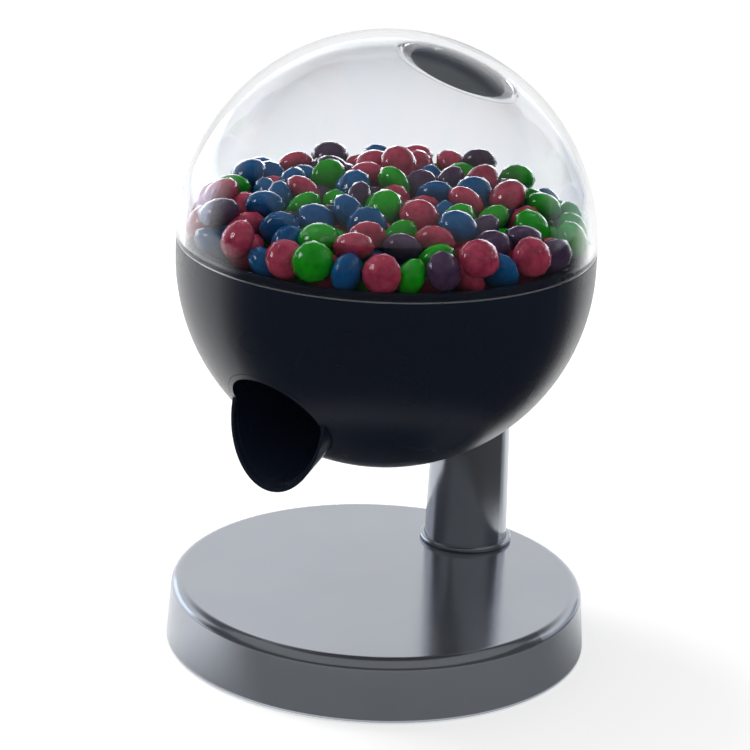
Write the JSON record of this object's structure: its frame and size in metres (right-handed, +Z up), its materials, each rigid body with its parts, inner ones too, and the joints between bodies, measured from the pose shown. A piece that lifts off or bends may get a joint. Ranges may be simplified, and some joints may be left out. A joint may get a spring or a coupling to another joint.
{
  "type": "candy dispenser",
  "caption": "Table-top globe candy dispenser with a clear dome, black bowl and chute, rear column and round battery base.",
  "frame": {"origin": "centre of the base on the surface that it stands on", "axes": "+Z up, the chute faces -Y, +X is to the right as seen from the front"},
  "size_m": [0.1446, 0.1447, 0.2137],
  "materials": {
    "satin_metal": "satin brushed light metal",
    "fastener_steel": "zinc-plated steel",
    "black_plastic": "satin moulded black",
    "clear_acrylic": "clear, polished",
    "lid_plastic": "satin grey",
    "silicone": "soft translucent",
    "foot_rubber": "matt",
    "rotor_plastic": "moulded dark grey",
    "gear_plastic": "moulded ivory",
    "brass": "turned",
    "circuit_board": "green solder mask",
    "cell_sleeve": "plain sleeved cell",
    "motor_can": "plated can",
    "lead_sheath": "black sheath",
    "ir_window": "dark infrared window",
    "candy_green": "polished sugar shell",
    "candy_blue": "polished sugar shell",
    "candy_red": "polished sugar shell",
    "candy_purple": "polished sugar shell"
  },
  "bodies": {
    "machine": {"base_shell": "satin_metal", "bottom_cover": "black_plastic", "rubber_feet": "foot_rubber", "cover_screws": "fastener_steel", "battery_cells": "cell_sleeve", "battery_contacts": "fastener_steel", "power_switch": "black_plastic", "control_board": "circuit_board", "board_screws": "fastener_steel", "column_tube": "satin_metal", "column_bead": "satin_metal", "column_washer": "fastener_steel", "column_nut": "fastener_steel", "column_screw": "fastener_steel", "wiring_lead": "lead_sheath", "bowl": "black_plastic", "chute": "black_plastic", "chute_screws": "fastener_steel", "sensor_window": "ir_window", "sensor_board": "circuit_board", "sensor_screws": "fastener_steel", "hopper": "black_plastic", "hopper_screws": "fastener_steel", "shaft_bush": "brass", "gear_case": "gear_plastic", "case_screws": "fastener_steel", "idler_axle": "fastener_steel", "motor": "motor_can", "motor_screws": "fastener_steel", "candies_green": "candy_green", "candies_blue": "candy_blue", "candies_red": "candy_red", "candies_purple": "candy_purple"},
    "rotor": {"rotor": "rotor_plastic", "rotor_cap": "rotor_plastic", "rotor_shaft": "fastener_steel", "rotor_gear": "gear_plastic"},
    "idler": {"idler_wheel": "gear_plastic"},
    "motor_rotor": {"motor_shaft": "fastener_steel", "drive_pinion": "brass"},
    "dome": {"dome": "clear_acrylic"},
    "lid": {"fill_lid": "lid_plastic", "lid_seal": "silicone"},
    "battery_door": {"battery_door": "black_plastic"},
    "switch_knob": {"switch_knob": "black_plastic"}
  },
  "joints": [
    {"name": "rotor_spin", "type": "hinge", "parent": "machine", "child": "rotor", "pos_m": [0, -0.0024, 0.129], "axis": [0, 0, 1], "continuous": true},
    {"name": "idler_spin", "type": "hinge", "parent": "machine", "child": "idler", "pos_m": [0, 0.0152, 0.115], "axis": [0, 0, 1], "continuous": true},
    {"name": "motor_spin", "type": "hinge", "parent": "machine", "child": "motor_rotor", "pos_m": [0.0176, 0.0152, 0.115], "axis": [0, 0, 1], "continuous": true},
    {"name": "dome_lift", "type": "slide", "parent": "machine", "child": "dome", "axis": [0, 0, 1], "range_m": [0, 0.04]},
    {"name": "lid_lift", "type": "slide", "parent": "dome", "child": "lid", "axis": [0, 0.5592, 0.829], "range_m": [0, 0.03]},
    {"name": "battery_door_swing", "type": "hinge", "parent": "machine", "child": "battery_door", "pos_m": [0, 0.02285, 0.002], "axis": [1, 0, 0], "range_deg": [0, 85]},
    {"name": "switch_slide", "type": "slide", "parent": "machine", "child": "switch_knob", "axis": [-0.788, -0.6157, 0], "range_m": [0, 0.003]}
  ],
  "couplings": [
    {"joint": "idler_spin", "follows": "rotor_spin", "ratio": -2.6667},
    {"joint": "motor_spin", "follows": "rotor_spin", "ratio": 9.0667}
  ]
}
